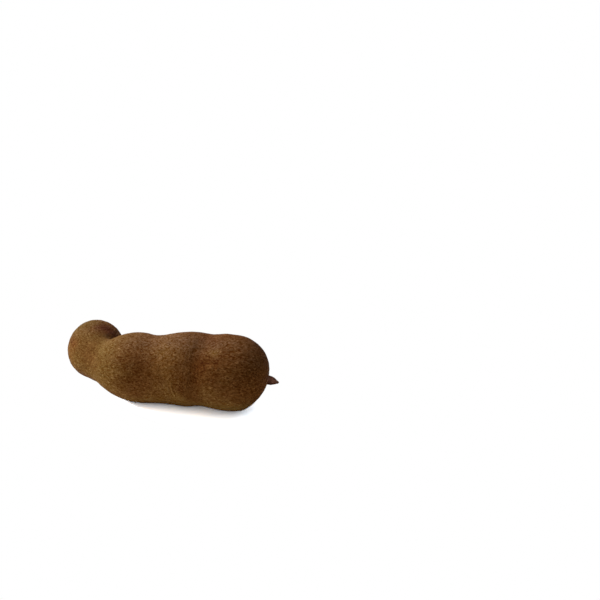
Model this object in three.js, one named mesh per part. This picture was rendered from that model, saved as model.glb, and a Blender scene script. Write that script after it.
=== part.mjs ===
// Tamarind pod, as picked: one lobed, curved pod and the stub of its stalk.
//
// Millimetres, +Z up. The pod lies on its flattened side on the plane Z = 0. Its chord runs along X with
// the stalk towards +X, its outer, convex side faces -Y, and the origin is the bottom centre of its box.

import * as THREE from "three";
import { NURBSCurve } from "three/addons/curves/NURBSCurve.js";

// ---------------------------------------------------------------- driving dimensions

// The control points in plan of the line through the middle of the pod, from the stalk to the tip.
const MIDDLE_LINE = [
  [9.3, 6.1],
  [1.3, -0.9],
  [-9.8, -1.4],
  [-23.1, -8.6],
  [-39.9, -11.8],
  [-54.9, -5.3],
  [-58.4, 13.5],
];

// One lobe for each seed, from the stalk to the tip: the distance of its middle along the middle line,
// how far the lobe reaches each way, its half-width, and how blunt it is (2 is an ellipse). The two end
// lobes have no reach here because they reach to the ends of the pod.
const SEEDS = [
  { at: 10.7, halfWidth: 13.3, bluntness: 2.27 },
  { at: 24.8, halfWidth: 13.2, bluntness: 2, reach: 16.5 },
  { at: 41.9, halfWidth: 12.0, bluntness: 2, reach: 14.7 },
  { at: 70.3, halfWidth: 9.1, bluntness: 2 },
];

// The strand of pulp that joins the seeds keeps the neck open to this half-width.
const STRAND_HALF_WIDTH = 8.2;

// Higher values give a sharper valley between two lobes.
const VALLEY_SHARPNESS = 6;

// The pod is pressed a little from side to side: the height of a section over its width.
const FLATNESS = 0.92;

// Each lobe is worn flat by this much where it lies on the table.
const REST_DEPTH = 0.3;

// How far the middle line dips from the end lobes to the stalk and to the tip.
const STALK_DIP = 2.3;
const TIP_DIP = 1.8;

// The dried end of the flower: a small point on the tip.
const BEAK = { proud: 1.1, reach: 2.4, halfWidth: 1.7 };

// Slow changes of the radius round and along the pod, so that it isn't a turned shape: the share of
// the radius, the waves round the pod, and the length along it in which the pattern turns once.
const UNEVENNESS = [
  { share: 0.013, waves: 2, turnLength: 57, phase: 0.25 },
  { share: 0.013, waves: 3, turnLength: -38, phase: 0.85 },
  { share: 0.006, waves: 5, turnLength: 23, phase: 3.8 },
];

// The broken stub of the stalk, along its own axis from the pod outwards. It droops from the line of
// the pod by an angle in degrees.
const STALK = {
  droop: 10,
  gap: 0.35,
  length: 4.0,
  bevel: 0.2,
  collarRadius: 1.6,
  collarHeight: 0.8,
  waistRadius: 1.2,
  waistHeight: 2.1,
  endRadius: 0.5,
};

const STATIONS = 64; // steps from ring to ring along the pod
const SECTORS = 40; // points round each ring
const STALK_SECTORS = 20;
const END_CROWDING = 0.93; // 0 spaces the rings evenly, near 1 draws them to the rounded ends

const POD_COLOUR = 0x6b4a2a;
const STALK_COLOUR = 0x4a2a1a;
const UP = new THREE.Vector3(0, 0, 1);

// ---------------------------------------------------------------- the middle line

// The plan of the middle line: a cubic B-spline that starts and ends on its outer control points.
function makeMiddleLine() {
  const degree = 3;
  const spans = MIDDLE_LINE.length - degree;
  const inner = Array.from({ length: spans - 1 }, (_, i) => i + 1);
  const knots = [...Array(degree + 1).fill(0), ...inner, ...Array(degree + 1).fill(spans)];
  const points = MIDDLE_LINE.map(([x, y]) => new THREE.Vector4(x, y, 0, 1));
  const curve = new NURBSCurve(degree, knots, points);
  curve.arcLengthDivisions = 1000;
  return curve;
}

// Height of the middle of a lobe that lies on the table.
function restingHeight(seed) {
  return seed.halfWidth * FLATNESS - REST_DEPTH;
}

// Height of the middle line: level over the middle of each seed, easing from one seed to the next.
function heightAt(distance, length) {
  const first = SEEDS[0];
  const last = SEEDS[SEEDS.length - 1];
  if (distance <= first.at) {
    return restingHeight(first) - STALK_DIP * (1 - distance / first.at) ** 2;
  }
  if (distance >= last.at) {
    return restingHeight(last) - TIP_DIP * ((distance - last.at) / (length - last.at)) ** 2;
  }
  const next = SEEDS.findIndex((seed) => seed.at > distance);
  const [here, there] = [SEEDS[next - 1], SEEDS[next]];
  const ease = THREE.MathUtils.smoothstep(distance, here.at, there.at);
  return THREE.MathUtils.lerp(restingHeight(here), restingHeight(there), ease);
}

// The point on the middle line at a distance along it, and the directions across, up and along the pod.
function frameAt(curve, distance) {
  const length = curve.getLength();
  const share = THREE.MathUtils.clamp(distance / length, 0, 1);
  const step = 0.05;
  const before = heightAt(Math.max(distance - step, 0), length);
  const after = heightAt(Math.min(distance + step, length), length);
  const centre = curve.getPointAt(share).setZ(heightAt(distance, length));
  const along = curve.getTangentAt(share).setZ((after - before) / (2 * step)).normalize();
  const across = new THREE.Vector3().crossVectors(UP, along).normalize();
  const up = new THREE.Vector3().crossVectors(along, across);
  return { centre, along, across, up };
}

// ---------------------------------------------------------------- the pod

// The bulges whose smooth union is the pod's half-width: the seeds, the strand and the beak.
function makeBulges(length) {
  const end = length - BEAK.proud;
  const seeds = SEEDS.map((seed, i) => {
    if (i === 0) return { ...seed, reach: seed.at };
    if (i === SEEDS.length - 1) return { ...seed, reach: end - seed.at };
    return seed;
  });
  const strand = { at: end / 2, reach: end / 2, halfWidth: STRAND_HALF_WIDTH, bluntness: 2 };
  const beak = { at: length - BEAK.reach, reach: BEAK.reach, halfWidth: BEAK.halfWidth, bluntness: 2 };
  return [...seeds, strand, beak];
}

// Half-width of the pod at a distance along it.
function halfWidthAt(bulges, distance) {
  const sum = bulges.reduce((total, { at, reach, halfWidth, bluntness }) => {
    const off = Math.min(Math.abs(distance - at) / reach, 1);
    const height = halfWidth * (1 - off ** bluntness) ** (1 / bluntness);
    return total + height ** VALLEY_SHARPNESS;
  }, 0);
  return sum ** (1 / VALLEY_SHARPNESS);
}

// The factor on the radius at a distance along the pod and an angle round it.
function unevenness(distance, angle) {
  return UNEVENNESS.reduce(
    (factor, { share, waves, turnLength, phase }) =>
      factor + share * Math.sin(waves * angle + (2 * Math.PI * distance) / turnLength + phase),
    1,
  );
}

// Distances of the rings along the pod, closer together at the rounded ends.
function ringDistances(length) {
  return Array.from({ length: STATIONS + 1 }, (_, i) => {
    const t = i / STATIONS;
    return length * (t - (END_CROWDING * Math.sin(2 * Math.PI * t)) / (2 * Math.PI));
  });
}

// The pod: its half-widths are turned round a straight axis, and that body is then laid along the
// middle line, pressed to its flatness and worn flat where it rests.
function makePod(curve) {
  const length = curve.getLength();
  const bulges = makeBulges(length);
  const profile = ringDistances(length).map(
    (distance) => new THREE.Vector2(halfWidthAt(bulges, distance), distance),
  );
  profile[0].x = 0;
  profile[STATIONS].x = 0;
  const geometry = new THREE.LatheGeometry(profile, SECTORS);
  const position = geometry.getAttribute("position");
  const turned = new THREE.Vector3();
  for (let i = 0; i < position.count; i++) {
    turned.fromBufferAttribute(position, i);
    const { centre, across, up } = frameAt(curve, turned.y);
    const factor = unevenness(turned.y, Math.atan2(turned.z, turned.x));
    const laid = centre
      .addScaledVector(across, -turned.x * factor)
      .addScaledVector(up, turned.z * factor * FLATNESS);
    position.setXYZ(i, laid.x, laid.y, Math.max(laid.z, 0));
  }
  geometry.computeVertexNormals();
  const material = new THREE.MeshStandardMaterial({ color: POD_COLOUR, roughness: 0.85, metalness: 0 });
  const pod = new THREE.Mesh(geometry, material);
  pod.name = "pod";
  return pod;
}

// ---------------------------------------------------------------- the stalk

// The stub of the stalk: a collar, a waist and a broken end, turned about its axis, then set on the
// end of the pod.
function makeStalk(curve) {
  const { droop, gap, length, bevel, collarRadius, collarHeight } = STALK;
  const { waistRadius, waistHeight, endRadius } = STALK;
  const profile = [
    new THREE.Vector2(0, 0),
    new THREE.Vector2(collarRadius - bevel, 0),
    new THREE.Vector2(collarRadius, bevel),
    new THREE.Vector2(collarRadius - bevel, collarHeight),
    new THREE.Vector2(waistRadius, waistHeight),
    new THREE.Vector2(endRadius, length - bevel),
    new THREE.Vector2(endRadius - bevel, length),
    new THREE.Vector2(0, length),
  ];
  const material = new THREE.MeshStandardMaterial({ color: STALK_COLOUR, roughness: 0.8, metalness: 0 });
  const stalk = new THREE.Mesh(new THREE.LatheGeometry(profile, STALK_SECTORS), material);
  const { centre, along, across } = frameAt(curve, 0);
  const outward = along.negate().applyAxisAngle(across, -THREE.MathUtils.degToRad(droop));
  stalk.position.copy(centre).addScaledVector(outward, gap);
  stalk.quaternion.setFromUnitVectors(new THREE.Vector3(0, 1, 0), outward);
  stalk.name = "stalk";
  return stalk;
}

// ---------------------------------------------------------------- the whole

// Moves what the group holds so that the bottom centre of its box is the origin.
function centreOnBase(content) {
  const box = new THREE.Box3().setFromObject(content, true);
  const middle = box.getCenter(new THREE.Vector3());
  content.position.set(-middle.x, -middle.y, -box.min.z);
}

const middleLine = makeMiddleLine();
const content = new THREE.Group();
content.add(makePod(middleLine), makeStalk(middleLine));
centreOnBase(content);

const tamarindPod = new THREE.Group();
tamarindPod.add(content);

export default tamarindPod;
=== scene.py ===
"""Looks of a whole tamarind pod: its lobed husk and its broken stub of stalk, on a white table."""

import logging
import math
from dataclasses import dataclass
from enum import Enum
from typing import Any, Sequence

import bmesh
import bpy
import numpy as np
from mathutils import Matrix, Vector, noise


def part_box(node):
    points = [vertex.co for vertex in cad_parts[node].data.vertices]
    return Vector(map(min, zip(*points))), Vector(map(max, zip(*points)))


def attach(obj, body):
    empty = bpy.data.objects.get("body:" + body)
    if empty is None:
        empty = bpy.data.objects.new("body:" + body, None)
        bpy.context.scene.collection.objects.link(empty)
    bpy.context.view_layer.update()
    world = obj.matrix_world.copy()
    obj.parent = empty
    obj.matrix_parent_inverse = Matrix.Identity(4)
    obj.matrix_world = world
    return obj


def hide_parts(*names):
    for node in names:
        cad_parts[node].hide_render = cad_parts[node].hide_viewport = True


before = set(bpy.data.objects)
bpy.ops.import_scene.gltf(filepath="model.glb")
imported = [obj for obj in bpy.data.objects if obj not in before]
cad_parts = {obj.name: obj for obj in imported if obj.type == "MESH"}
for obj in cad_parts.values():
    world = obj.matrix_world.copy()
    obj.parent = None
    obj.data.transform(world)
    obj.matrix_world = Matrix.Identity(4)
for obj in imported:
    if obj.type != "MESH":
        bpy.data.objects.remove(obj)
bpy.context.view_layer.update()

log = logging.getLogger("tamarind")

MM = 0.001
TURN = 2 * math.pi

# What the meshes store for their materials: where a point would be if its piece were straight, the same
# place with the pod's ends kept open, how much of each tint it takes, and marks. The husk's mark is its
# relief with its slits made deeper, and its colour is darker where this is low and lighter where it is
# high: painted shade in the slits' grooves and painted light on their ridges. The stub's marks are how
# torn it is and its ribs.
STRAIGHT = "straight"
DRAWN = "drawn"
TINTS = "tints"
MORE_TINTS = "more_tints"
MARKS = "marks"

Colour = tuple[float, float, float, float]
Triple = tuple[float, float, float]

WHITE: Colour = (1.0, 1.0, 1.0, 1.0)

# The middle value of a Noise Texture node.
NOISE_MIDDLE = 0.5


# ------------------------------------------------------------------------------ shader maths


class Shade:
    """A node socket that takes part in Python arithmetic, so that shader maths reads as expressions."""

    def __init__(self, bench: "Bench", socket: bpy.types.NodeSocket) -> None:
        """Wraps a socket.

        Args:
            bench: the builder of the socket's node tree.
            socket: an output socket.
        """
        self.bench = bench
        self.socket = socket

    def _math(self, operation: str, *values: Any) -> "Shade":
        """Adds a Math node that works on the given values or links."""
        return self.bench.add("ShaderNodeMath", {"operation": operation}, dict(enumerate(values)))

    def __add__(self, other: Any) -> "Shade":
        """Sum of two values."""
        return self._math("ADD", self, other)

    __radd__ = __add__

    def __sub__(self, other: Any) -> "Shade":
        """Difference of two values."""
        return self._math("SUBTRACT", self, other)

    def __rsub__(self, other: Any) -> "Shade":
        """Difference with this value taken away."""
        return self._math("SUBTRACT", other, self)

    def __mul__(self, other: Any) -> "Shade":
        """Product of two values."""
        return self._math("MULTIPLY", self, other)

    __rmul__ = __mul__

    def __abs__(self) -> "Shade":
        """How far this value is from 0."""
        return self._math("ABSOLUTE", self)

    def clamp(self) -> "Shade":
        """This value held between 0 and 1."""
        return self.bench.add("ShaderNodeClamp", {}, {"Value": self})

    def band(self, low: float, high: float) -> "Shade":
        """A smooth step.

        Args:
            low: the value at which the step starts.
            high: the value at which it ends.

        Returns:
            0 below low, 1 above high, and a smooth rise between.
        """
        inputs = {"Value": self, "From Min": low, "From Max": high}
        return self.bench.add("ShaderNodeMapRange", {"interpolation_type": "SMOOTHSTEP"}, inputs)


@dataclass(frozen=True)
class Grain:
    """Fractal noise: its waves in a metre, its finer layers and their strength, its swirl and stretch."""

    scale: float
    detail: float = 3.0
    rough: float = 0.6
    swirl: float = 0.0
    stretch: Triple | None = None


class Bench:
    """Builds the node tree of a material or of the world."""

    # A Mix node's input sockets for its factor and two colours, and its output socket for a colour.
    FACTOR = 0
    FIRST_COLOUR = 6
    SECOND_COLOUR = 7
    MIXED_COLOUR = 2

    def __init__(self, owner: bpy.types.Material | bpy.types.World) -> None:
        """Empties the node tree, to build it anew.

        Args:
            owner: the material or world.
        """
        owner.use_nodes = True
        self.tree = owner.node_tree
        self.tree.nodes.clear()

    def node(self, kind: str, settings: dict[str, Any], inputs: dict[Any, Any]) -> bpy.types.Node:
        """Makes a node.

        Args:
            kind: the node's type name.
            settings: the node's properties, which are set before its sockets.
            inputs: socket names or numbers, each with the Shade that is linked to it or its own value.

        Returns:
            The new node.
        """
        node = self.tree.nodes.new(kind)
        for key, value in settings.items():
            setattr(node, key, value)
        for key, value in inputs.items():
            if isinstance(value, Shade):
                self.tree.links.new(value.socket, node.inputs[key])
            else:
                node.inputs[key].default_value = value
        return node

    def add(
        self,
        kind: str,
        settings: dict[str, Any] | None = None,
        inputs: dict[Any, Any] | None = None,
        output: int | str = 0,
    ) -> Shade:
        """Makes a node and takes one of its outputs.

        Args:
            kind: the node's type name.
            settings: the node's properties.
            inputs: what its sockets get.
            output: which output to take, by number or name.

        Returns:
            The chosen output.
        """
        return Shade(self, self.node(kind, settings or {}, inputs or {}).outputs[output])

    def mix(self, factor: Any, low: Any, high: Any, blend: str = "MIX") -> Shade:
        """Mixes two colours.

        Args:
            factor: 0 gives low, 1 gives high.
            low: the first colour or link.
            high: the second colour or link.
            blend: the blend type.

        Returns:
            The mixed colour.
        """
        settings = {"data_type": "RGBA", "blend_type": blend, "clamp_factor": True}
        inputs = {self.FACTOR: factor, self.FIRST_COLOUR: low, self.SECOND_COLOUR: high}
        return self.add("ShaderNodeMix", settings, inputs, output=self.MIXED_COLOUR)

    def ramp(self, factor: Shade, low: Triple, high: Triple) -> Shade:
        """Runs in a straight line from one vector to another and stops at 0; low may lie under 0.

        Args:
            factor: 0 gives low, 1 gives high.
            low: the first vector.
            high: the second vector.

        Returns:
            The vector between them.
        """
        rise = tuple(end - start for start, end in zip(low, high))
        line = self.vector("MULTIPLY_ADD", factor, rise, low)
        return self.vector("MAXIMUM", line, (0.0, 0.0, 0.0))

    def attribute(self, name: str) -> Shade:
        """A vector attribute stored on the mesh."""
        settings = {"attribute_name": name, "attribute_type": "GEOMETRY"}
        return self.add("ShaderNodeAttribute", settings, output="Vector")

    def vector(self, operation: str, *values: Any, output: int | str = 0) -> Shade:
        """Adds a Vector Math node that works on the given vectors or links."""
        return self.add("ShaderNodeVectorMath", {"operation": operation}, dict(enumerate(values)), output)

    def stretched(self, vector: Any, scale: Any) -> Shade:
        """A vector or colour scaled by a factor on each axis or channel."""
        return self.vector("MULTIPLY", vector, scale)

    def split(self, vector: Shade) -> tuple[Shade, Shade, Shade]:
        """Takes a vector apart.

        Args:
            vector: a vector's socket.

        Returns:
            Its three numbers.
        """
        node = self.node("ShaderNodeSeparateXYZ", {}, {0: vector})
        return tuple(Shade(self, output) for output in node.outputs)

    def noise(self, vector: Shade, grain: Grain) -> Shade:
        """Adds fractal noise.

        Args:
            vector: the places where it is read.
            grain: how fine and how rough it is.

        Returns:
            A value of about 0 to 1, with its middle at NOISE_MIDDLE.
        """
        if grain.stretch:
            vector = self.stretched(vector, grain.stretch)
        inputs = {
            "Vector": vector,
            "Scale": grain.scale,
            "Detail": grain.detail,
            "Roughness": grain.rough,
            "Distortion": grain.swirl,
        }
        return self.add("ShaderNodeTexNoise", {}, inputs)

    def bump(self, height: Shade) -> Shade:
        """The normal of a surface whose relief is a height in millimetres."""
        return self.add("ShaderNodeBump", {}, {"Strength": 1.0, "Distance": MM, "Height": height})

    def show(self, shader: Shade, kind: str = "ShaderNodeOutputMaterial") -> None:
        """Makes the output node, of the given type, and links a shader to it."""
        self.node(kind, {}, {"Surface": shader})

    def coat(self, surface: dict[str, Any]) -> None:
        """Makes the principled shader, from its socket names with their values or links, and shows it."""
        self.show(self.add("ShaderNodeBsdfPrincipled", {}, surface))


# ------------------------------------------------------------------------------ the pod's own measures


class PodRings:
    """The rings of points round the CAD pod, from the stalk to the tip, and the smooth skin over them."""

    TOUCHING = 1e-7

    def __init__(self, node: bpy.types.Object, start: Vector) -> None:
        """Measures the rings.

        Args:
            node: the CAD pod.
            start: a point near the stalk's end of the pod, where the count of rings starts.
        """
        rings = self._rings(node, start)
        self.sectors = max(len(ring) for ring in rings)
        self.centres = np.array([np.mean(ring, axis=0) for ring in rings])
        along = np.gradient(self.centres, axis=0)
        along = along / np.linalg.norm(along, axis=1)[:, None]
        across = np.cross([0.0, 0.0, 1.0], along)
        self.across = across / np.linalg.norm(across, axis=1)[:, None]
        self.up = np.cross(along, self.across)
        self.grid = np.array([self._in_order(ring, k) for k, ring in enumerate(rings)])
        self.radius = np.linalg.norm(self.grid - self.centres[:, None], axis=2).mean(axis=1)
        self.distance = self._summed(np.linalg.norm(np.diff(self.centres, axis=0), axis=1))
        self.skin_distance = self._summed(np.linalg.norm(np.diff(self.grid, axis=0), axis=2).mean(axis=1))

    @staticmethod
    def _summed(lengths: np.ndarray) -> np.ndarray:
        """The running sum of some lengths, starting from 0."""
        return np.concatenate([[0.0], np.cumsum(lengths)])

    def _rings(self, node: bpy.types.Object, start: Vector) -> list[list[Vector]]:
        """Counts the rings outwards from one point of the mesh.

        Args:
            node: the CAD pod.
            start: the first ring is the point of the mesh that lies nearest to it.

        Returns:
            The points of each ring, in no special order.
        """
        bm = bmesh.new()
        bm.from_mesh(node.data)
        bmesh.ops.remove_doubles(bm, verts=bm.verts, dist=self.TOUCHING)
        front = [min(bm.verts, key=lambda vert: (vert.co - start).length)]
        seen = set(front)
        rings = []
        while front:
            rings.append([vert.co.copy() for vert in front])
            beyond = {edge.other_vert(vert) for vert in front for edge in vert.link_edges} - seen
            seen |= beyond
            front = sorted(beyond, key=lambda vert: vert.index)
        bm.free()
        return rings

    def _in_order(self, ring: list[Vector], k: int) -> np.ndarray:
        """Puts the points of one ring in order.

        Args:
            ring: the points.
            k: which ring it is.

        Returns:
            The points in order of angle; a pole is repeated all round.
        """
        points = np.array(ring, float)
        if len(ring) == 1:
            return np.repeat(points, self.sectors, axis=0)
        height = (points - self.centres[k]) @ self.up[k]
        width = (points - self.centres[k]) @ self.across[k]
        flatness = height.max() / width.max()
        sector = np.round(np.arctan2(height / flatness, width) / TURN * self.sectors) % self.sectors
        return points[np.argsort(sector)]

    @staticmethod
    def _weights(t: np.ndarray) -> np.ndarray:
        """Catmull-Rom weights, which lay a smooth curve through evenly spaced points.

        Args:
            t: places between the middle two of four neighbours, from 0 to 1.

        Returns:
            The weights of the four neighbours.
        """
        return np.stack(
            [
                -0.5 * t + t**2 - 0.5 * t**3,
                1 - 2.5 * t**2 + 1.5 * t**3,
                0.5 * t + 2 * t**2 - 1.5 * t**3,
                -0.5 * t**2 + 0.5 * t**3,
            ]
        )

    def station(self, share: np.ndarray) -> np.ndarray:
        """How many rings from the stalk's end each share of the way along the skin is."""
        return np.interp(share * self.skin_distance[-1], self.skin_distance, np.arange(len(self.grid)))

    def skin(self, station: np.ndarray, sector: np.ndarray) -> np.ndarray:
        """Points on the smooth skin, interpolated by cubics between the rings and round them.

        Args:
            station: how many rings from the stalk's end, with fractions.
            sector: how many points round the ring, with fractions.

        Returns:
            One point for each station and sector, in metres.
        """
        half = self.sectors // 2
        before = np.roll(self.grid[1], half, axis=0)
        after = np.roll(self.grid[-2], half, axis=0)
        grid = np.concatenate([[before], self.grid, [after]])
        row = np.clip(np.floor(station), 0, len(self.grid) - 2).astype(int)
        column = np.floor(sector).astype(int)
        row_weights = self._weights(station - row)
        column_weights = self._weights(sector - column)
        points = np.zeros((len(station), 3))
        for i in range(4):
            for j in range(4):
                weight = row_weights[i] * column_weights[j]
                points += weight[:, None] * grid[row + i, (column + j - 1) % self.sectors]
        return points


# ------------------------------------------------------------------------------ patterns on the skin


# The direction in which seeds move through the noise.
SEED_STEP = np.array([1.0, -1.7, 0.6])


@dataclass(frozen=True)
class Drift:
    """Smooth noise: the length of one wave on each axis, in millimetres, and a seed for its place."""

    waves: Triple
    seed: float

    def at(self, points: np.ndarray) -> np.ndarray:
        """Reads the noise.

        Args:
            points: places in millimetres.

        Returns:
            One value from about -1 to 1 for each place.
        """
        scaled = points / np.array(self.waves) + self.seed * SEED_STEP
        return np.array([noise.noise(place) for place in scaled.tolist()])


def wandered(values: np.ndarray, points: np.ndarray, wander: Sequence[tuple[float, Drift]]) -> np.ndarray:
    """Moves values about with noise.

    Args:
        values: one value for each point.
        points: places in millimetres.
        wander: how far each noise moves them, with the noise.

    Returns:
        The moved values.
    """
    for reach, drift in wander:
        values = values + reach * drift.at(points)
    return values


def crests(values: np.ndarray, steepness: float = 2.5) -> np.ndarray:
    """Folds noise into narrow rounded crests, from 0 in the hollows to 1 on top."""
    return np.clip(1 - steepness * np.abs(values), 0, 1)


def hill(distance: np.ndarray, width: float) -> np.ndarray:
    """1 at distance 0, falling smoothly to nothing over about twice the width."""
    return np.exp(-((distance / width) ** 2))


def turned(angle: np.ndarray, degrees: float) -> np.ndarray:
    """How far round each angle is from a direction, in degrees, the shorter way."""
    return (np.degrees(angle) - degrees + 180) % 360 - 180


class Tint(Enum):
    """What a stain does to the husk's colour; the number is its place in the stored masks."""

    # Pale is paler husk, and on the undersides painted light bounced up from the table.
    PALE_AND_BOUNCE_LIGHT = 0
    # Dark is darker husk, and at the stalk's end painted shade too.
    DARK_AND_SHADE = 1
    # Plum is plum husk, and on the tip lobe's upper inner side painted shade too.
    PLUM_AND_SHADE = 2
    RUST = 3
    # Dusty is a grey veil on top, and on the tip's upper rim a painted sheen.
    DUST_AND_SHEEN = 4
    GOLDEN = 5


@dataclass(frozen=True)
class Stain:
    """A soft patch of one tint: its middle, its half length along the pod and its half spread round it.

    Distances are in millimetres from the stalk's end. Angles are in degrees: 0 faces the pod's outer side,
    90 its top and -90 the table.
    """

    tint: Tint
    along: float
    angle: float
    length: float
    spread: float
    strength: float

    def share(self, along: np.ndarray, angle: np.ndarray) -> np.ndarray:
        """How much of the tint each place takes."""
        near = hill(turned(angle, self.angle), self.spread)
        return self.strength * hill(along - self.along, self.length) * near


# A spread so wide that a stain goes all the way round.
ALL_ROUND = 1000.0

# Tint, along, angle, length, spread and strength.
STAINS = (
    Stain(Tint.PALE_AND_BOUNCE_LIGHT, 4.0, 62, 2.2, 12, 0.25),
    Stain(Tint.PALE_AND_BOUNCE_LIGHT, 15.4, 55, 1.9, 8, 0.90),
    Stain(Tint.PALE_AND_BOUNCE_LIGHT, 23.0, 62, 2.6, 20, 0.20),
    Stain(Tint.PALE_AND_BOUNCE_LIGHT, 15.0, 2, 4.5, 18, 0.30),
    Stain(Tint.PALE_AND_BOUNCE_LIGHT, 32.0, 80, 4.8, 60, 0.62),
    Stain(Tint.PALE_AND_BOUNCE_LIGHT, 31.0, 10, 3.4, 50, 0.30),
    Stain(Tint.PALE_AND_BOUNCE_LIGHT, 43.5, 22, 2.8, 18, 0.40),
    Stain(Tint.PALE_AND_BOUNCE_LIGHT, 49.5, 0, 4.6, ALL_ROUND, 0.36),
    Stain(Tint.PALE_AND_BOUNCE_LIGHT, 51.0, -14, 5.6, 20, 0.80),
    Stain(Tint.PALE_AND_BOUNCE_LIGHT, 47.5, 84, 3.5, 20, 0.35),
    Stain(Tint.PALE_AND_BOUNCE_LIGHT, 62.5, 0, 4.2, 18, 0.50),
    Stain(Tint.PALE_AND_BOUNCE_LIGHT, 72.0, 72, 4.2, 38, 0.65),
    Stain(Tint.PALE_AND_BOUNCE_LIGHT, 74.5, 80, 2.6, 24, 0.40),
    # The pale stains at -30 degrees and lower are painted light bounced up from the table.
    Stain(Tint.PALE_AND_BOUNCE_LIGHT, 11.0, -42, 14.0, 26, 1.00),
    Stain(Tint.PALE_AND_BOUNCE_LIGHT, 26.5, -30, 4.5, 14, 0.70),
    Stain(Tint.PALE_AND_BOUNCE_LIGHT, 36.0, 24, 2.6, 9, 0.28),
    Stain(Tint.PALE_AND_BOUNCE_LIGHT, 33.0, -48, 12.0, 26, 0.70),
    Stain(Tint.PALE_AND_BOUNCE_LIGHT, 66.0, -120, 10.0, 60, 0.40),
    Stain(Tint.PALE_AND_BOUNCE_LIGHT, 13.0, 166, 5.0, 22, 0.45),
    Stain(Tint.PALE_AND_BOUNCE_LIGHT, 32.0, 176, 3.5, 34, 0.35),
    Stain(Tint.PALE_AND_BOUNCE_LIGHT, 46.0, 178, 4.5, 32, 0.45),
    # The first three dark stains, at the stalk's end, are darker husk and painted shade.
    Stain(Tint.DARK_AND_SHADE, 1.5, 52, 3.8, 42, 1.00),
    Stain(Tint.DARK_AND_SHADE, 2.0, 0, 2.6, ALL_ROUND, 0.45),
    Stain(Tint.DARK_AND_SHADE, 6.5, 8, 4.0, 26, 0.50),
    Stain(Tint.DARK_AND_SHADE, 12.0, 106, 4.5, 16, 0.60),
    Stain(Tint.DARK_AND_SHADE, 14.5, 36, 4.0, 14, 0.30),
    Stain(Tint.DARK_AND_SHADE, 18.8, 28, 3.2, 19, 0.95),
    Stain(Tint.DARK_AND_SHADE, 22.5, -14, 4.6, 20, 0.65),
    Stain(Tint.DARK_AND_SHADE, 20.0, 100, 4.0, 16, 0.60),
    Stain(Tint.DARK_AND_SHADE, 32.0, 2, 1.6, 9, 0.40),
    Stain(Tint.DARK_AND_SHADE, 40.0, 26, 3.6, 34, 0.58),
    Stain(Tint.DARK_AND_SHADE, 56.8, 28, 4.6, 28, 0.60),
    Stain(Tint.DARK_AND_SHADE, 59.5, 60, 4.0, 24, 0.45),
    Stain(Tint.DARK_AND_SHADE, 67.0, 36, 4.0, 14, 0.55),
    Stain(Tint.DARK_AND_SHADE, 63.6, 30, 2.2, 8, 0.30),
    Stain(Tint.DARK_AND_SHADE, 9.0, 190, 6.5, 44, 0.45),
    Stain(Tint.DARK_AND_SHADE, 23.0, 176, 6.0, 36, 0.55),
    Stain(Tint.DARK_AND_SHADE, 17.5, 152, 1.8, 9, 0.70),
    Stain(Tint.DARK_AND_SHADE, 37.0, 160, 1.5, 8, 0.60),
    Stain(Tint.DARK_AND_SHADE, 40.0, 196, 5.0, 40, 0.40),
    Stain(Tint.DARK_AND_SHADE, 70.0, -40, 6.0, 34, 0.35),
    # The first plum stain, on the tip lobe's upper inner side, is plum husk and painted shade.
    Stain(Tint.PLUM_AND_SHADE, 70.0, 118, 5.8, 27, 1.00),
    Stain(Tint.PLUM_AND_SHADE, 5.0, 104, 4.0, 22, 0.40),
    Stain(Tint.PLUM_AND_SHADE, 19.0, 92, 3.5, 22, 0.25),
    Stain(Tint.PLUM_AND_SHADE, 36.0, 205, 4.0, 20, 0.35),
    Stain(Tint.RUST, 84.0, 0, 4.5, ALL_ROUND, 0.75),
    Stain(Tint.RUST, 26.5, 150, 2.2, 11, 0.50),
    Stain(Tint.RUST, 64.5, 27, 1.5, 22, 0.25),
    Stain(Tint.RUST, -0.5, 0, 2.4, ALL_ROUND, 0.45),
    Stain(Tint.RUST, 33.0, 20, 5.0, 22, 0.25),
    # The first dusty stain greys the top; the second, on the tip's upper rim, is a painted sheen.
    Stain(Tint.DUST_AND_SHEEN, 28.0, 86, 32.0, 41, 1.00),
    Stain(Tint.DUST_AND_SHEEN, 72.5, 66, 7.0, 56, 1.00),
    Stain(Tint.DUST_AND_SHEEN, 38.0, 36, 11.0, 11, 0.20),
    Stain(Tint.GOLDEN, 57.5, 48, 11.5, 64, 0.90),
    Stain(Tint.GOLDEN, 74.5, 55, 5.0, 50, 0.75),
    Stain(Tint.GOLDEN, 58.0, 190, 10.0, 50, 0.50),
)


@dataclass(frozen=True)
class Slit:
    """A short groove across the pod, from one angle to another; a depth below 0 makes a ridge.

    Sizes are in millimetres and angles in degrees, as for stains. The groove winds a little from side to
    side: so far, and so many times in a turn.
    """

    along: float
    low: float
    high: float
    depth: float
    width: float
    sway: float = 0.35
    winds: float = 9.0

    def height(self, along: np.ndarray, angle: np.ndarray) -> np.ndarray:
        """Works out the groove's relief.

        Args:
            along: distances along the pod, in millimetres.
            angle: angles round the pod.

        Returns:
            The height that the groove adds at each place, in millimetres.
        """
        beside = turned(angle, (self.low + self.high) / 2)
        bent = along - self.along - self.sway * np.sin(np.radians(beside) * self.winds)
        return -self.depth * hill(bent, self.width) * hill(beside, (self.high - self.low) / 2)


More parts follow.
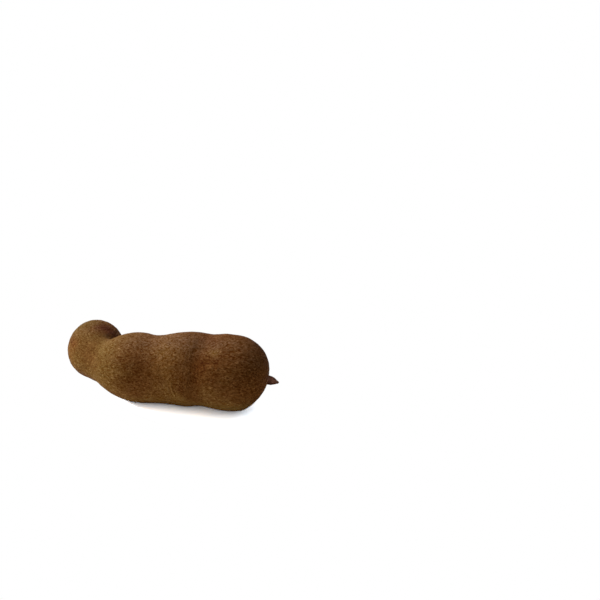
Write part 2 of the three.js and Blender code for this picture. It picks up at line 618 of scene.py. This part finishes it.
# Along, the two angles, depth and width.
SLITS = (
    Slit(27.9, -20, 0, -0.14, 0.32),
    Slit(28.6, -22, 4, 0.22, 0.32),
    Slit(29.3, -20, 2, -0.15, 0.32),
    Slit(30.0, -24, 2, 0.20, 0.32),
    Slit(30.7, -18, 0, -0.12, 0.32),
    Slit(14.8, 34, 38, -0.13, 0.38),
    Slit(13.5, 31, 35, -0.12, 0.34),
    Slit(30.6, 70, 75, -0.10, 0.40),
    Slit(33.4, 79, 85, -0.10, 0.45),
    Slit(34.6, 67, 71, -0.10, 0.36),
    Slit(53.0, 50, 62, -0.10, 0.34),
    Slit(54.1, 54, 68, 0.12, 0.36),
    Slit(55.4, 47, 60, -0.10, 0.34),
    Slit(56.8, 56, 69, 0.12, 0.36),
    Slit(58.0, 50, 62, -0.09, 0.34),
    Slit(52.0, 150, 210, 0.22, 0.50),
    Slit(54.5, 140, 205, 0.16, 0.45),
    Slit(57.0, 155, 220, 0.20, 0.50),
)


# ------------------------------------------------------------------------------ closed shapes


def new_ball(around: int, lengthwise: int) -> tuple[bmesh.types.BMesh, np.ndarray, np.ndarray]:
    """Starts a closed shape as a ball.

    Args:
        around: how many faces go round it.
        lengthwise: how many go from pole to pole.

    Returns:
        The ball, with the share of the way from pole to pole and the angle round it of each vertex.
    """
    bm = bmesh.new()
    bmesh.ops.create_uvsphere(bm, u_segments=around, v_segments=lengthwise, radius=1)
    points = np.array([vert.co for vert in bm.verts])
    share = np.arccos(np.clip(points[:, 2], -1, 1)) / math.pi
    angle = np.arctan2(points[:, 1], points[:, 0]) % TURN
    return bm, share, angle


def move(bm: bmesh.types.BMesh, points: np.ndarray) -> None:
    """Moves every vertex to its point and turns the faces outwards.

    Args:
        bm: the shape.
        points: one point for each vertex, in their order.
    """
    for vert, point in zip(bm.verts, points):
        vert.co = point
    bm.normal_update()
    bmesh.ops.recalc_face_normals(bm, faces=bm.faces)


def new_object(bm: bmesh.types.BMesh, name: str, material: bpy.types.Material) -> bpy.types.Object:
    """Turns a shape into a smooth object of the scene.

    Args:
        bm: the shape, which is freed.
        name: the object's name.
        material: what it is made of.

    Returns:
        The new object.
    """
    for face in bm.faces:
        face.smooth = True
    mesh = bpy.data.meshes.new(name)
    bm.to_mesh(mesh)
    bm.free()
    mesh.materials.append(material)
    made = bpy.data.objects.new(name, mesh)
    bpy.context.scene.collection.objects.link(made)
    return made


def store(mesh: bpy.types.Mesh, name: str, values: np.ndarray) -> None:
    """Stores a vector for each vertex under a name.

    Args:
        mesh: the mesh.
        name: the attribute's name.
        values: up to three numbers for each vertex; missing ones are stored as 0.
    """
    vectors = np.zeros((len(values), 3), np.float32)
    vectors[:, : values.shape[1]] = values
    layer = mesh.attributes.new(name, "FLOAT_VECTOR", "POINT")
    layer.data.foreach_set("vector", vectors.ravel())


# ------------------------------------------------------------------------------ the husk


@dataclass(frozen=True)
class HuskRelief:
    """What stands on the husk: its heights in millimetres, and the noise that lays each of them out.

    Where the husk is fibrous, long ridges cover it, and elsewhere fine wrinkles do. Both are warped, so
    that they wind. Folds run together at the two ends, whose rims are the radii where the folds start.
    """

    lumps: float = 0.16
    lump_drift: Drift = Drift((11, 11, 11), 3.1)
    dents: float = 0.09
    dent_drift: Drift = Drift((5, 4.5, 4.5), 7.7)
    fibres: float = 0.10
    fibre_drift: Drift = Drift((12, 2.2, 2.2), 9.4)
    fibre_level: float = 0.4
    wrinkles: float = 0.06
    wrinkle_drift: Drift = Drift((3.4, 1.7, 1.7), 12.6)
    wrinkles_most: float = 1.4
    fibrous: float = 0.55
    fibrous_least: float = 0.15
    fibrous_drift: Drift = Drift((13, 9, 9), 5.2)
    warp: float = 0.5
    warp_waves: Triple = (4, 3, 3)
    warp_seeds: Triple = (1.3, 2.9, 4.1)
    puckers: float = 0.16
    pucker_count: int = 13
    pucker_spread: float = 3.2
    pucker_reach: float = 5.0
    pucker_drift: Drift = Drift((4, 4, 4), 2.0)
    sway: float = 2.5
    sway_waves: Triple = (3, 3, 3)
    sway_seed: float = 1.0
    stalk_rim: float = 1.9
    tip_rim: float = 1.7
    collar: float = 0.35
    collar_width: float = 0.7
    collar_reach: float = 2.0
    lip: float = 0.16
    lip_radius: float = 1.3
    lip_width: float = 0.5
    lip_reach: float = 1.6

    def height(
        self, straight: np.ndarray, drawn: np.ndarray, angle: np.ndarray, length: float
    ) -> np.ndarray:
        """Height of the relief over the smooth skin.

        Args:
            straight: places on the pod if it were straight.
            drawn: the same with their radius kept open at the ends, so that patterns run together there.
            angle: angles round the pod.
            length: the length of the pod's middle line.

        Returns:
            One height for each place, in millimetres.
        """
        along = straight[:, 0]
        radius = np.hypot(straight[:, 1], straight[:, 2])
        fibrous = np.clip(self.fibrous + self.fibrous_drift.at(straight), self.fibrous_least, 1)
        push = np.stack([Drift(self.warp_waves, seed).at(drawn) for seed in self.warp_seeds], axis=1)
        warped = drawn + self.warp * push
        height = self.lumps * self.lump_drift.at(straight)
        height += self.dents * self.dent_drift.at(straight)
        height += self.fibres * fibrous * (crests(self.fibre_drift.at(warped)) - self.fibre_level)
        height += self.wrinkles * (self.wrinkles_most - fibrous) * crests(self.wrinkle_drift.at(warped))
        for end, rim in ((0.0, self.stalk_rim), (length, self.tip_rim)):
            height += self._puckers(straight, angle, end, rim)
        collar = hill(radius - self.stalk_rim, self.collar_width)
        height += self.collar * collar * hill(along, self.collar_reach)
        lip = hill(radius - self.lip_radius, self.lip_width)
        height += self.lip * lip * hill(along - length, self.lip_reach)
        return height + self.slits(along, angle)

    def _puckers(self, straight: np.ndarray, angle: np.ndarray, end: float, rim: float) -> np.ndarray:
        """Works out the folds that run together at one end.

        Args:
            straight: places on the pod if it were straight.
            angle: angles round the pod.
            end: how far along the pod its end is.
            rim: the radius at which the folds start.

        Returns:
            The height that the folds add at each place, in millimetres.
        """
        radius = np.hypot(straight[:, 1], straight[:, 2])
        near = hill(np.maximum(radius - rim, 0), self.pucker_spread)
        near = near * hill(straight[:, 0] - end, self.pucker_reach)
        sway = self.sway * Drift(self.sway_waves, self.sway_seed + end).at(straight)
        folds = np.sin(self.pucker_count * angle + sway) * self.pucker_drift.at(straight)
        return self.puckers * near * folds * np.clip(radius / rim, 0, 1)

    @staticmethod
    def slits(along: np.ndarray, angle: np.ndarray) -> np.ndarray:
        """Height that the grooves across the pod add at each place, in millimetres."""
        return sum(slit.height(along, angle) for slit in SLITS)


@dataclass
class HuskSkin:
    """The pod's husk as one closed mesh, finer than the CAD pod and with its relief."""

    rings: PodRings
    around: int = 256
    lengthwise: int = 388
    open_end: float = 3.0
    # How much more the slits count in the relief that the colour follows: their grooves get painted shade
    # and their ridges painted light.
    slit_shading: float = 2.5
    relief: HuskRelief = HuskRelief()
    wander_along: tuple[tuple[float, Drift], ...] = (
        (2.2, Drift((7, 7, 7), 21.0)),
        (0.8, Drift((2.5, 2.5, 2.5), 22.0)),
    )
    wander_round: tuple[tuple[float, Drift], ...] = (
        (0.30, Drift((9, 9, 9), 23.0)),
        (0.10, Drift((3, 3, 3), 24.0)),
    )

    def build(self) -> bpy.types.Object:
        """Makes the husk.

        Returns:
            The finished object, which stands for the CAD pod.
        """
        bm, share, angle = new_ball(self.around, self.lengthwise)
        station = self.rings.station(share)
        points = self.rings.skin(station, angle / TURN * self.rings.sectors)
        move(bm, points)
        normals = np.array([vert.normal for vert in bm.verts])
        straight = self._straightened(station, angle, 0.0)
        drawn = self._straightened(station, angle, self.open_end)
        length = self.rings.distance[-1] / MM
        height = self.relief.height(straight, drawn, angle, length)
        points = points + normals * height[:, None] * MM
        # The relief doesn't sink into the table.
        points[:, 2] = np.maximum(points[:, 2], 0.0)
        move(bm, points)
        husk = new_object(bm, "husk", HuskFinish().build())
        store(husk.data, STRAIGHT, straight * MM)
        store(husk.data, DRAWN, drawn * MM)
        tints = self._tints(straight, angle)
        store(husk.data, TINTS, tints[:, :3])
        store(husk.data, MORE_TINTS, tints[:, 3:])
        # The slits count extra in the relief that the colour follows, giving their grooves painted shade
        # and their ridges painted light.
        shaded_relief = height + self.slit_shading * self.relief.slits(straight[:, 0], angle)
        store(husk.data, MARKS, shaded_relief[:, None])
        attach(husk, "root")
        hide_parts("pod")
        return husk

    def _straightened(self, station: np.ndarray, angle: np.ndarray, open_end: float) -> np.ndarray:
        """Where each point would be if the pod were straight, in millimetres: along, across, up.

        Args:
            station: how many rings from the stalk's end.
            angle: angles round the pod.
            open_end: the radius that the pod's ends keep, in millimetres.

        Returns:
            One place for each station and angle.
        """
        rows = np.arange(len(self.rings.grid))
        distance = np.interp(station, rows, self.rings.distance) / MM
        radius = np.hypot(np.interp(station, rows, self.rings.radius) / MM, open_end)
        return np.stack([distance, radius * np.cos(angle), radius * np.sin(angle)], axis=1)

    def _tints(self, straight: np.ndarray, angle: np.ndarray) -> np.ndarray:
        """Lays the stains over each other, with uneven edges.

        Args:
            straight: places on the pod if it were straight.
            angle: angles round the pod.

        Returns:
            How much of each tint every place takes, one column for each tint.
        """
        along = wandered(straight[:, 0], straight, self.wander_along)
        bent = wandered(angle, straight, self.wander_round)
        bare = np.ones((len(along), len(Tint)))
        for stain in STAINS:
            bare[:, stain.tint.value] *= 1 - np.clip(stain.share(along, bent), 0, 1)
        return 1 - bare


@dataclass(frozen=True)
class HuskFinish:
    """Matt scurfy husk: brown lobes, paler waists, darker fronts, and plum, rust, dust and gold in places.
    Painted light is laid in too: painted shade at the stalk's end and on the tip lobe's inner side,
    painted light bounced up from the table on the undersides, a painted sheen on the tip's upper rim,
    and painted shade in the slits' grooves with painted light on their ridges.

    The tone runs from 0 in the hollows to 1 on the crests, where the colour is multiplied by the vectors of
    those names: a hollow takes away all the blue, and a crest is whitish. Weights say how much each layer
    adds to the tone, calms how much a tint evens it out, and reliefs how far a layer stands out, in
    millimetres. Breaks are how far noise frays a tint, and leasts how much of it noise leaves everywhere.
    """

    brown: Colour = (0.146, 0.050, 0.0078, 1.0)
    # Pale is paler husk, and on the undersides painted light bounced up from the table.
    pale_and_bounce_light: Colour = (0.238, 0.112, 0.0196, 1.0)
    # Dark is darker husk, and at the stalk's end painted shade too.
    dark_and_shade: Colour = (0.099, 0.027, 0.0026, 1.0)
    # Plum is plum husk, and on the tip lobe's upper inner side painted shade too.
    plum_and_shade: Colour = (0.089, 0.0235, 0.0072, 1.0)
    rust: Colour = (0.172, 0.048, 0.0060, 1.0)
    # Dusty is a grey veil on top, and on the tip's upper rim a painted sheen.
    dust_and_sheen: Colour = (0.130, 0.055, 0.0168, 1.0)
    golden: Colour = (0.112, 0.060, 0.0085, 1.0)
    hollow: Triple = (0.560, 0.320, -0.700)
    crest: Triple = (2.000, 2.650, 5.300)
    mottling: Grain = Grain(210, detail=4)
    blotching: Grain = Grain(620)
    folding: Grain = Grain(1350, detail=1.5, rough=0.5, swirl=1.1, stretch=(0.68, 1.0, 1.0))
    fold_narrowness: float = 4.0
    graining: Grain = Grain(2000, stretch=(0.8, 1.1, 1.1))
    dusting: Grain = Grain(4200)
    flecking: Grain = Grain(1400, detail=2)
    fleck_start: float = 0.61
    fleck_full: float = 0.72
    grain_weight: float = 1.9
    dust_weight: float = 0.9
    fleck_weight: float = 1.6
    wrinkle_weight: float = 0.44
    wrinkle_level: float = 0.25
    pale_calm: float = 0.35
    golden_calm: float = 0.3
    height_weight: float = 0.3
    middle_tone: float = 0.39
    pale_breaks: float = 0.8
    dark_breaks: float = 0.4
    dust_sheen_and_gold_least: float = 0.4
    rust_least: float = 0.5
    wrinkle_relief: float = 0.05
    grain_relief: float = 0.10
    dust_relief: float = 0.03
    fleck_relief: float = 0.04
    gloss: float = 0.04
    rough: float = 0.84
    wrinkle_smoothness: float = 0.10

    def build(self) -> bpy.types.Material:
        """Makes the material.

        Returns:
            The finished material.
        """
        material = bpy.data.materials.new("tamarind_husk")
        bench = Bench(material)
        straight = bench.attribute(STRAIGHT)
        drawn = bench.attribute(DRAWN)
        tints = bench.split(bench.attribute(TINTS)) + bench.split(bench.attribute(MORE_TINTS))
        height, _, _ = bench.split(bench.attribute(MARKS))
        mottle = bench.noise(straight, self.mottling)
        blotch = bench.noise(straight, self.blotching)
        folds = bench.noise(drawn, self.folding)
        wrinkle = (1 - abs(folds * 2 - 1) * self.fold_narrowness).clamp()
        grain = bench.noise(drawn, self.graining)
        dust = bench.noise(straight, self.dusting)
        flecks = bench.noise(straight, self.flecking).band(self.fleck_start, self.fleck_full)
        colour = self._tinted(bench, tints, mottle, blotch)
        fine = (grain - NOISE_MIDDLE) * self.grain_weight + (dust - NOISE_MIDDLE) * self.dust_weight
        fine = fine + flecks * self.fleck_weight
        contrast = 1 - tints[Tint.PALE_AND_BOUNCE_LIGHT.value] * self.pale_calm - tints[Tint.GOLDEN.value] * self.golden_calm
        tone = (fine + wrinkle * self.wrinkle_weight - self.wrinkle_level) * contrast
        # The colour is darker in the relief's hollows and lighter on its crests; in the slits this is
        # painted shade in the grooves and painted light on the ridges.
        tone = tone + height * self.height_weight + self.middle_tone
        colour = bench.stretched(colour, bench.ramp(tone.clamp(), self.hollow, self.crest))
        relief = wrinkle * self.wrinkle_relief + grain * self.grain_relief
        relief = relief + dust * self.dust_relief + flecks * self.fleck_relief
        surface = {
            "Base Color": colour,
            "Roughness": self.rough - wrinkle * self.wrinkle_smoothness,
            "Specular IOR Level": self.gloss,
            "Normal": bench.bump(relief),
        }
        bench.coat(surface)
        return material

    def _tinted(self, bench: Bench, tints: Sequence[Shade], mottle: Shade, blotch: Shade) -> Shade:
        """Lays the tints over the brown, with their edges broken up.

        Args:
            bench: the builder of the husk's material.
            tints: how much there is of each tint, in the order of Tint.
            mottle: coarse noise, which breaks up the pale tint.
            blotch: finer noise, which breaks up the others.

        Returns:
            The colour before its fine grain.
        """
        pale_and_bounce_light, dark_and_shade, plum_and_shade, rust, dust_and_sheen, golden = tints
        # Pale: paler waists, and painted light bounced up from the table on the undersides.
        colour = bench.mix(pale_and_bounce_light + (mottle - NOISE_MIDDLE) * self.pale_breaks, self.brown, self.pale_and_bounce_light)
        # Dusty: a grey veil on top, and a painted sheen on the tip's upper rim.
        colour = bench.mix(dust_and_sheen * (self.dust_sheen_and_gold_least + blotch), colour, self.dust_and_sheen)
        colour = bench.mix(golden * (self.dust_sheen_and_gold_least + blotch), colour, self.golden)
        # Dark: darker husk, and painted shade at the stalk's end.
        colour = bench.mix(dark_and_shade + (blotch - NOISE_MIDDLE) * self.dark_breaks, colour, self.dark_and_shade)
        # Plum: plum husk, and painted shade on the tip lobe's upper inner side.
        colour = bench.mix(plum_and_shade, colour, self.plum_and_shade)
        return bench.mix(rust * (self.rust_least + blotch), colour, self.rust)


# ------------------------------------------------------------------------------ the stalk


@dataclass
class StalkStub:
    """The short broken stub of the stalk: a collar at the husk, a ribbed waist and a fibrous broken end.

    The profile runs along the stub: the level, from 0 at the sunken foot to 1 at the broken end, and the
    radius there. Sizes are in millimetres, but ribs, their hollows and knobs are shares of the radius, and
    the torn end and its fibres are measured in levels.
    """

    base: Vector
    direction: Vector
    length: float
    around: int = 96
    lengthwise: int = 110
    sunk: float = 0.5
    profile: tuple[tuple[float, float], ...] = (
        (0.00, 0.0),
        (0.00, 1.52),
        (0.15, 1.56),
        (0.32, 1.52),
        (0.52, 1.40),
        (0.72, 1.12),
        (0.88, 0.78),
        (0.97, 0.46),
        (1.00, 0.20),
        (1.00, 0.0),
    )
    ribs: float = 0.10
    rib_hollows: float = 0.04
    rib_drift: Drift = Drift((0.55, 0.55, 3.5), 2.0)
    rib_tint: float = 10.0
    knobs: float = 0.12
    knob_drift: Drift = Drift((1.1, 1.1, 1.3), 6.0)
    smooth_radius: float = 0.5
    torn_from: float = 0.93
    torn_over: float = 0.07
    torn_reach: float = 0.08
    fibres: float = 0.10
    fibre_drift: Drift = Drift((0.28, 0.28, 9.0), 8.0)
    droop_start: float = 0.14
    droop: float = 0.55
    droop_power: float = 1.4

    def build(self) -> bpy.types.Object:
        """Makes the stub.

        Returns:
            The finished object, which stands for the CAD stalk.
        """
        bm, share, angle = new_ball(self.around, self.lengthwise)
        level, radius = self._outline(share)
        reach = self.length + self.sunk
        place = np.stack([radius * np.cos(angle), radius * np.sin(angle), level * reach], axis=1)
        rib = crests(self.rib_drift.at(place)) * self.ribs - self.rib_hollows
        knobs = self.knob_drift.at(place) * self.knobs
        radius = radius * (1 + (rib + knobs) * np.clip(radius / self.smooth_radius, 0, 1))
        torn = np.clip((level - self.torn_from) / self.torn_over, 0, 1)
        level = level + torn * (self.torn_reach + self.fibres * self.fibre_drift.at(place))
        move(bm, self._placed(level, radius, angle))
        stub = new_object(bm, "stalk_stub", StalkFinish().build())
        store(stub.data, STRAIGHT, place * MM)
        store(stub.data, MARKS, np.stack([torn, rib * self.rib_tint], axis=1))
        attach(stub, "root")
        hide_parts("stalk")
        return stub

    def _outline(self, share: np.ndarray) -> tuple[np.ndarray, np.ndarray]:
        """Walks along the outline.

        Args:
            share: shares of the way from its first point to its last.

        Returns:
            The level and the radius at each share.
        """
        level, radius = np.array(self.profile).T
        steps = np.hypot(np.diff(level * self.length), np.diff(radius))
        walked = np.concatenate([[0], np.cumsum(steps)]) / steps.sum()
        return np.interp(share, walked, level), np.interp(share, walked, radius)

    def _placed(self, level: np.ndarray, radius: np.ndarray, angle: np.ndarray) -> np.ndarray:
        """Stands the stub on the pod, drooping more and more towards its broken end.

        Args:
            level: levels, from 0 at the foot to 1 at the broken end.
            radius: distances from the stub's middle line.
            angle: angles round it.

        Returns:
            The points, in metres.
        """
        across = self.direction.cross(Vector((0, 0, 1))).normalized()
        up = across.cross(self.direction)
        axes = np.array([across, up, self.direction])
        bend = self.droop_start + self.droop * np.clip(level, 0, 1) ** self.droop_power
        height = radius * np.sin(angle) - bend
        along = level * (self.length + self.sunk) - self.sunk
        local = np.stack([radius * np.cos(angle), height, along], axis=1)
        return np.array(self.base) + local @ axes * MM


@dataclass(frozen=True)
class StalkFinish:
    """Dark red wood, pinkish on top with dust and painted light, and darker underneath with painted shade,
    with a pale fibrous broken end.

    The pinkish top takes over between two heights over the stub's middle line. Heights and reliefs are in
    millimetres.
    """

    # The dark red wood shows underneath, made darker there with painted shade.
    wood: Colour = (0.058, 0.012, 0.0036, 1.0)
    # The pinkish top: dust and painted light.
    dust_and_sheen: Colour = (0.280, 0.122, 0.0760, 1.0)
    broken: Colour = (0.300, 0.140, 0.0750, 1.0)
    streaking: Grain = Grain(3200, stretch=(1.0, 1.0, 0.25))
    graining: Grain = Grain(4200)
    upper_from: float = -1.0
    upper_full: float = 0.8
    upper_weight: float = 0.9
    streak_weight: float = 1.6
    rib_weight: float = 0.3
    broken_least: float = 0.4
    shade_least: float = 0.6
    shade_range: float = 0.8
    streak_relief: float = 0.06
    grain_relief: float = 0.03
    gloss: float = 0.1
    rough: float = 0.85
    streak_smoothness: float = 0.1

    def build(self) -> bpy.types.Material:
        """Makes the material.

        Returns:
            The finished material.
        """
        material = bpy.data.materials.new("stalk_wood")
        bench = Bench(material)
        place = bench.attribute(STRAIGHT)
        torn, rib, _ = bench.split(bench.attribute(MARKS))
        _, up, _ = bench.split(place)
        streaks = bench.noise(place, self.streaking)
        grain = bench.noise(place, self.graining)
        # Pinkish on top with dust and painted light; underneath, the wood is dark with painted shade.
        upper_side = up.band(self.upper_from * MM, self.upper_full * MM)
        dust = upper_side * self.upper_weight + (streaks - NOISE_MIDDLE) * self.streak_weight
        colour = bench.mix(dust + rib * self.rib_weight, self.wood, self.dust_and_sheen)
        colour = bench.mix(torn * (self.broken_least + grain), colour, self.broken)
        colour = bench.mix(1.0, colour, grain * self.shade_range + self.shade_least, "MULTIPLY")
        surface = {
            "Base Color": colour,
            "Roughness": self.rough - streaks * self.streak_smoothness,
            "Specular IOR Level": self.gloss,
            "Normal": bench.bump(streaks * self.streak_relief + grain * self.grain_relief),
        }
        bench.coat(surface)
        return material


# ------------------------------------------------------------------------------ the stage


@dataclass(frozen=True)
class ShadowPatch:
    """An oval on the table that holds the dark heart of a shadow: its middle and its reach on each axis.

    Its edge is soft between the shares soft_from and soft_to of the reach.
    """

    middle: Triple
    reach: Triple
    soft_from: float = 0.9
    soft_to: float = 1.1

    def beyond(self, bench: Bench, place: Shade) -> Shade:
        """Whether a place is outside the oval.

        Args:
            bench: the builder of the table's material.
            place: coordinates on the table.

        Returns:
            0 inside the oval and 1 outside.
        """
        offset = bench.vector("SUBTRACT", place, self.middle)
        share = bench.vector("LENGTH", bench.vector("DIVIDE", offset, self.reach), output="Value")
        return share.band(self.soft_from, self.soft_to)


@dataclass(frozen=True)
class TableTop:
    """A plain white table that shows the pod's soft shadow."""

    size: float = 6.0
    drop: float = 0.00005
    white: Colour = (0.88, 0.88, 0.88, 1.0)
    seen: Colour = (11.7, 13.8, 15.5, 1.0)
    glow: float = 0.05
    under_lobes: ShadowPatch = ShadowPatch((0.014, -0.002, 0.0), (0.028, 0.014, 1.0))
    under_tip: ShadowPatch = ShadowPatch((-0.019, 0.007, 0.0), (0.013, 0.010, 1.0))

    def build(self) -> bpy.types.Object:
        """Makes the table top, a hair's breadth under the pod.

        Returns:
            The finished object, which is part of the stage.
        """
        bm = bmesh.new()
        bmesh.ops.create_grid(bm, x_segments=1, y_segments=1, size=self.size / 2)
        table = new_object(bm, "table_top", self._material())
        table.location.z = -self.drop
        return table

    def _material(self) -> bpy.types.Material:
        """White paint that the camera sees bright enough to leave only the shadow's dark heart.

        Returns:
            The material of the table top.
        """
        material = bpy.data.materials.new("table_white")
        bench = Bench(material)
        paint = bench.add("ShaderNodeBsdfDiffuse", {}, {"Color": self.white})
        bright = bench.add("ShaderNodeBsdfDiffuse", {}, {"Color": self.seen})
        glow = bench.add("ShaderNodeEmission", {}, {"Strength": self.glow})
        shadow = bench.add("ShaderNodeAddShader", {}, {0: bright, 1: glow})
        plain_white = bench.add("ShaderNodeEmission")
        place = bench.add("ShaderNodeTexCoord", output="Object")
        outside = self.under_lobes.beyond(bench, place) * self.under_tip.beyond(bench, place)
        shown = bench.add("ShaderNodeMixShader", {}, {0: outside, 1: shadow, 2: plain_white})
        seen = bench.add("ShaderNodeLightPath", output="Is Camera Ray")
        bench.show(bench.add("ShaderNodeMixShader", {}, {0: seen, 1: paint, 2: shown}))
        return material


@dataclass(frozen=True)
class SoftLight:
    """A large square lamp to the left of the pod, turned to the middle of the table."""

    name: str = "window"
    place: Triple = (-0.985, 0.0, 0.77)
    side: float = 0.9
    watts: float = 28.0

    def build(self) -> None:
        """Makes the lamp."""
        lamp = bpy.data.lights.new(self.name, "AREA")
        lamp.shape = "SQUARE"
        lamp.size = self.side
        lamp.energy = self.watts
        holder = bpy.data.objects.new(self.name, lamp)
        holder.location = self.place
        holder.rotation_euler = (-Vector(self.place)).to_track_quat("-Z", "Y").to_euler()
        bpy.context.scene.collection.objects.link(holder)


@dataclass(frozen=True)
class Viewpoint:
    """Where the camera stands, from the spot on the table that it looks at."""

    aim: Triple = (0.00364, 0.08645, 0.0)
    azimuth: float = 30.0
    elevation: float = 25.0
    distance: float = 0.75
    lens: float = 123.3
    nearest: float = 0.05

    def build(self) -> None:
        """Makes the camera and gives it to the scene."""
        camera = bpy.data.objects.new("camera", bpy.data.cameras.new("camera"))
        camera.data.lens = self.lens
        camera.data.clip_start = self.nearest
        turn, tilt = math.radians(self.azimuth), math.radians(self.elevation)
        back = Vector((math.sin(turn) * math.cos(tilt), -math.cos(turn) * math.cos(tilt), math.sin(tilt)))
        camera.location = Vector(self.aim) + back * self.distance
        camera.rotation_euler = back.to_track_quat("Z", "Y").to_euler()
        bpy.context.scene.collection.objects.link(camera)
        bpy.context.scene.camera = camera


@dataclass(frozen=True)
class WhiteRoom:
    """A dim white room round the table, which the camera sees as plain white."""

    name: str = "soft_room"
    strength: float = 0.16

    def build(self) -> None:
        """Makes the room and gives it to the scene."""
        world = bpy.data.worlds.new(self.name)
        bench = Bench(world)
        room = bench.add("ShaderNodeBackground", {}, {"Color": WHITE, "Strength": self.strength})
        backdrop = bench.add("ShaderNodeBackground", {}, {"Color": WHITE})
        seen = bench.add("ShaderNodeLightPath", output="Is Camera Ray")
        both = bench.add("ShaderNodeMixShader", {}, {0: seen, 1: room, 2: backdrop})
        bench.show(both, "ShaderNodeOutputWorld")
        bpy.context.scene.world = world


# ------------------------------------------------------------------------------ the whole


def stalk_line(rings: PodRings) -> tuple[Vector, Vector, float]:
    """Measures the CAD stalk.

    Args:
        rings: the measures of the pod.

    Returns:
        Where the stalk leaves the pod, which way it points, and how far it reaches in millimetres.
    """
    base = Vector(rings.grid[0][0])
    low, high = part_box("stalk")
    direction = ((low + high) / 2 - base).normalized()
    reach = max((vert.co - base).dot(direction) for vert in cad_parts["stalk"].data.vertices)
    return base, direction, reach / MM


def main() -> None:
    """Builds the camera, the stage and the pod's two pieces, and reports the pieces."""
    logging.basicConfig(level=logging.INFO, format="%(message)s")
    bpy.context.scene.view_settings.view_transform = "Standard"
    Viewpoint().build()
    TableTop().build()
    WhiteRoom().build()
    SoftLight().build()
    stalk_middle = sum(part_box("stalk"), Vector()) / 2
    rings = PodRings(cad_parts["pod"], stalk_middle)
    for maker in (HuskSkin(rings), StalkStub(*stalk_line(rings))):
        piece = maker.build()
        log.info("%s: %d faces", piece.name, len(piece.data.polygons))


if __name__ == "__main__":
    main()
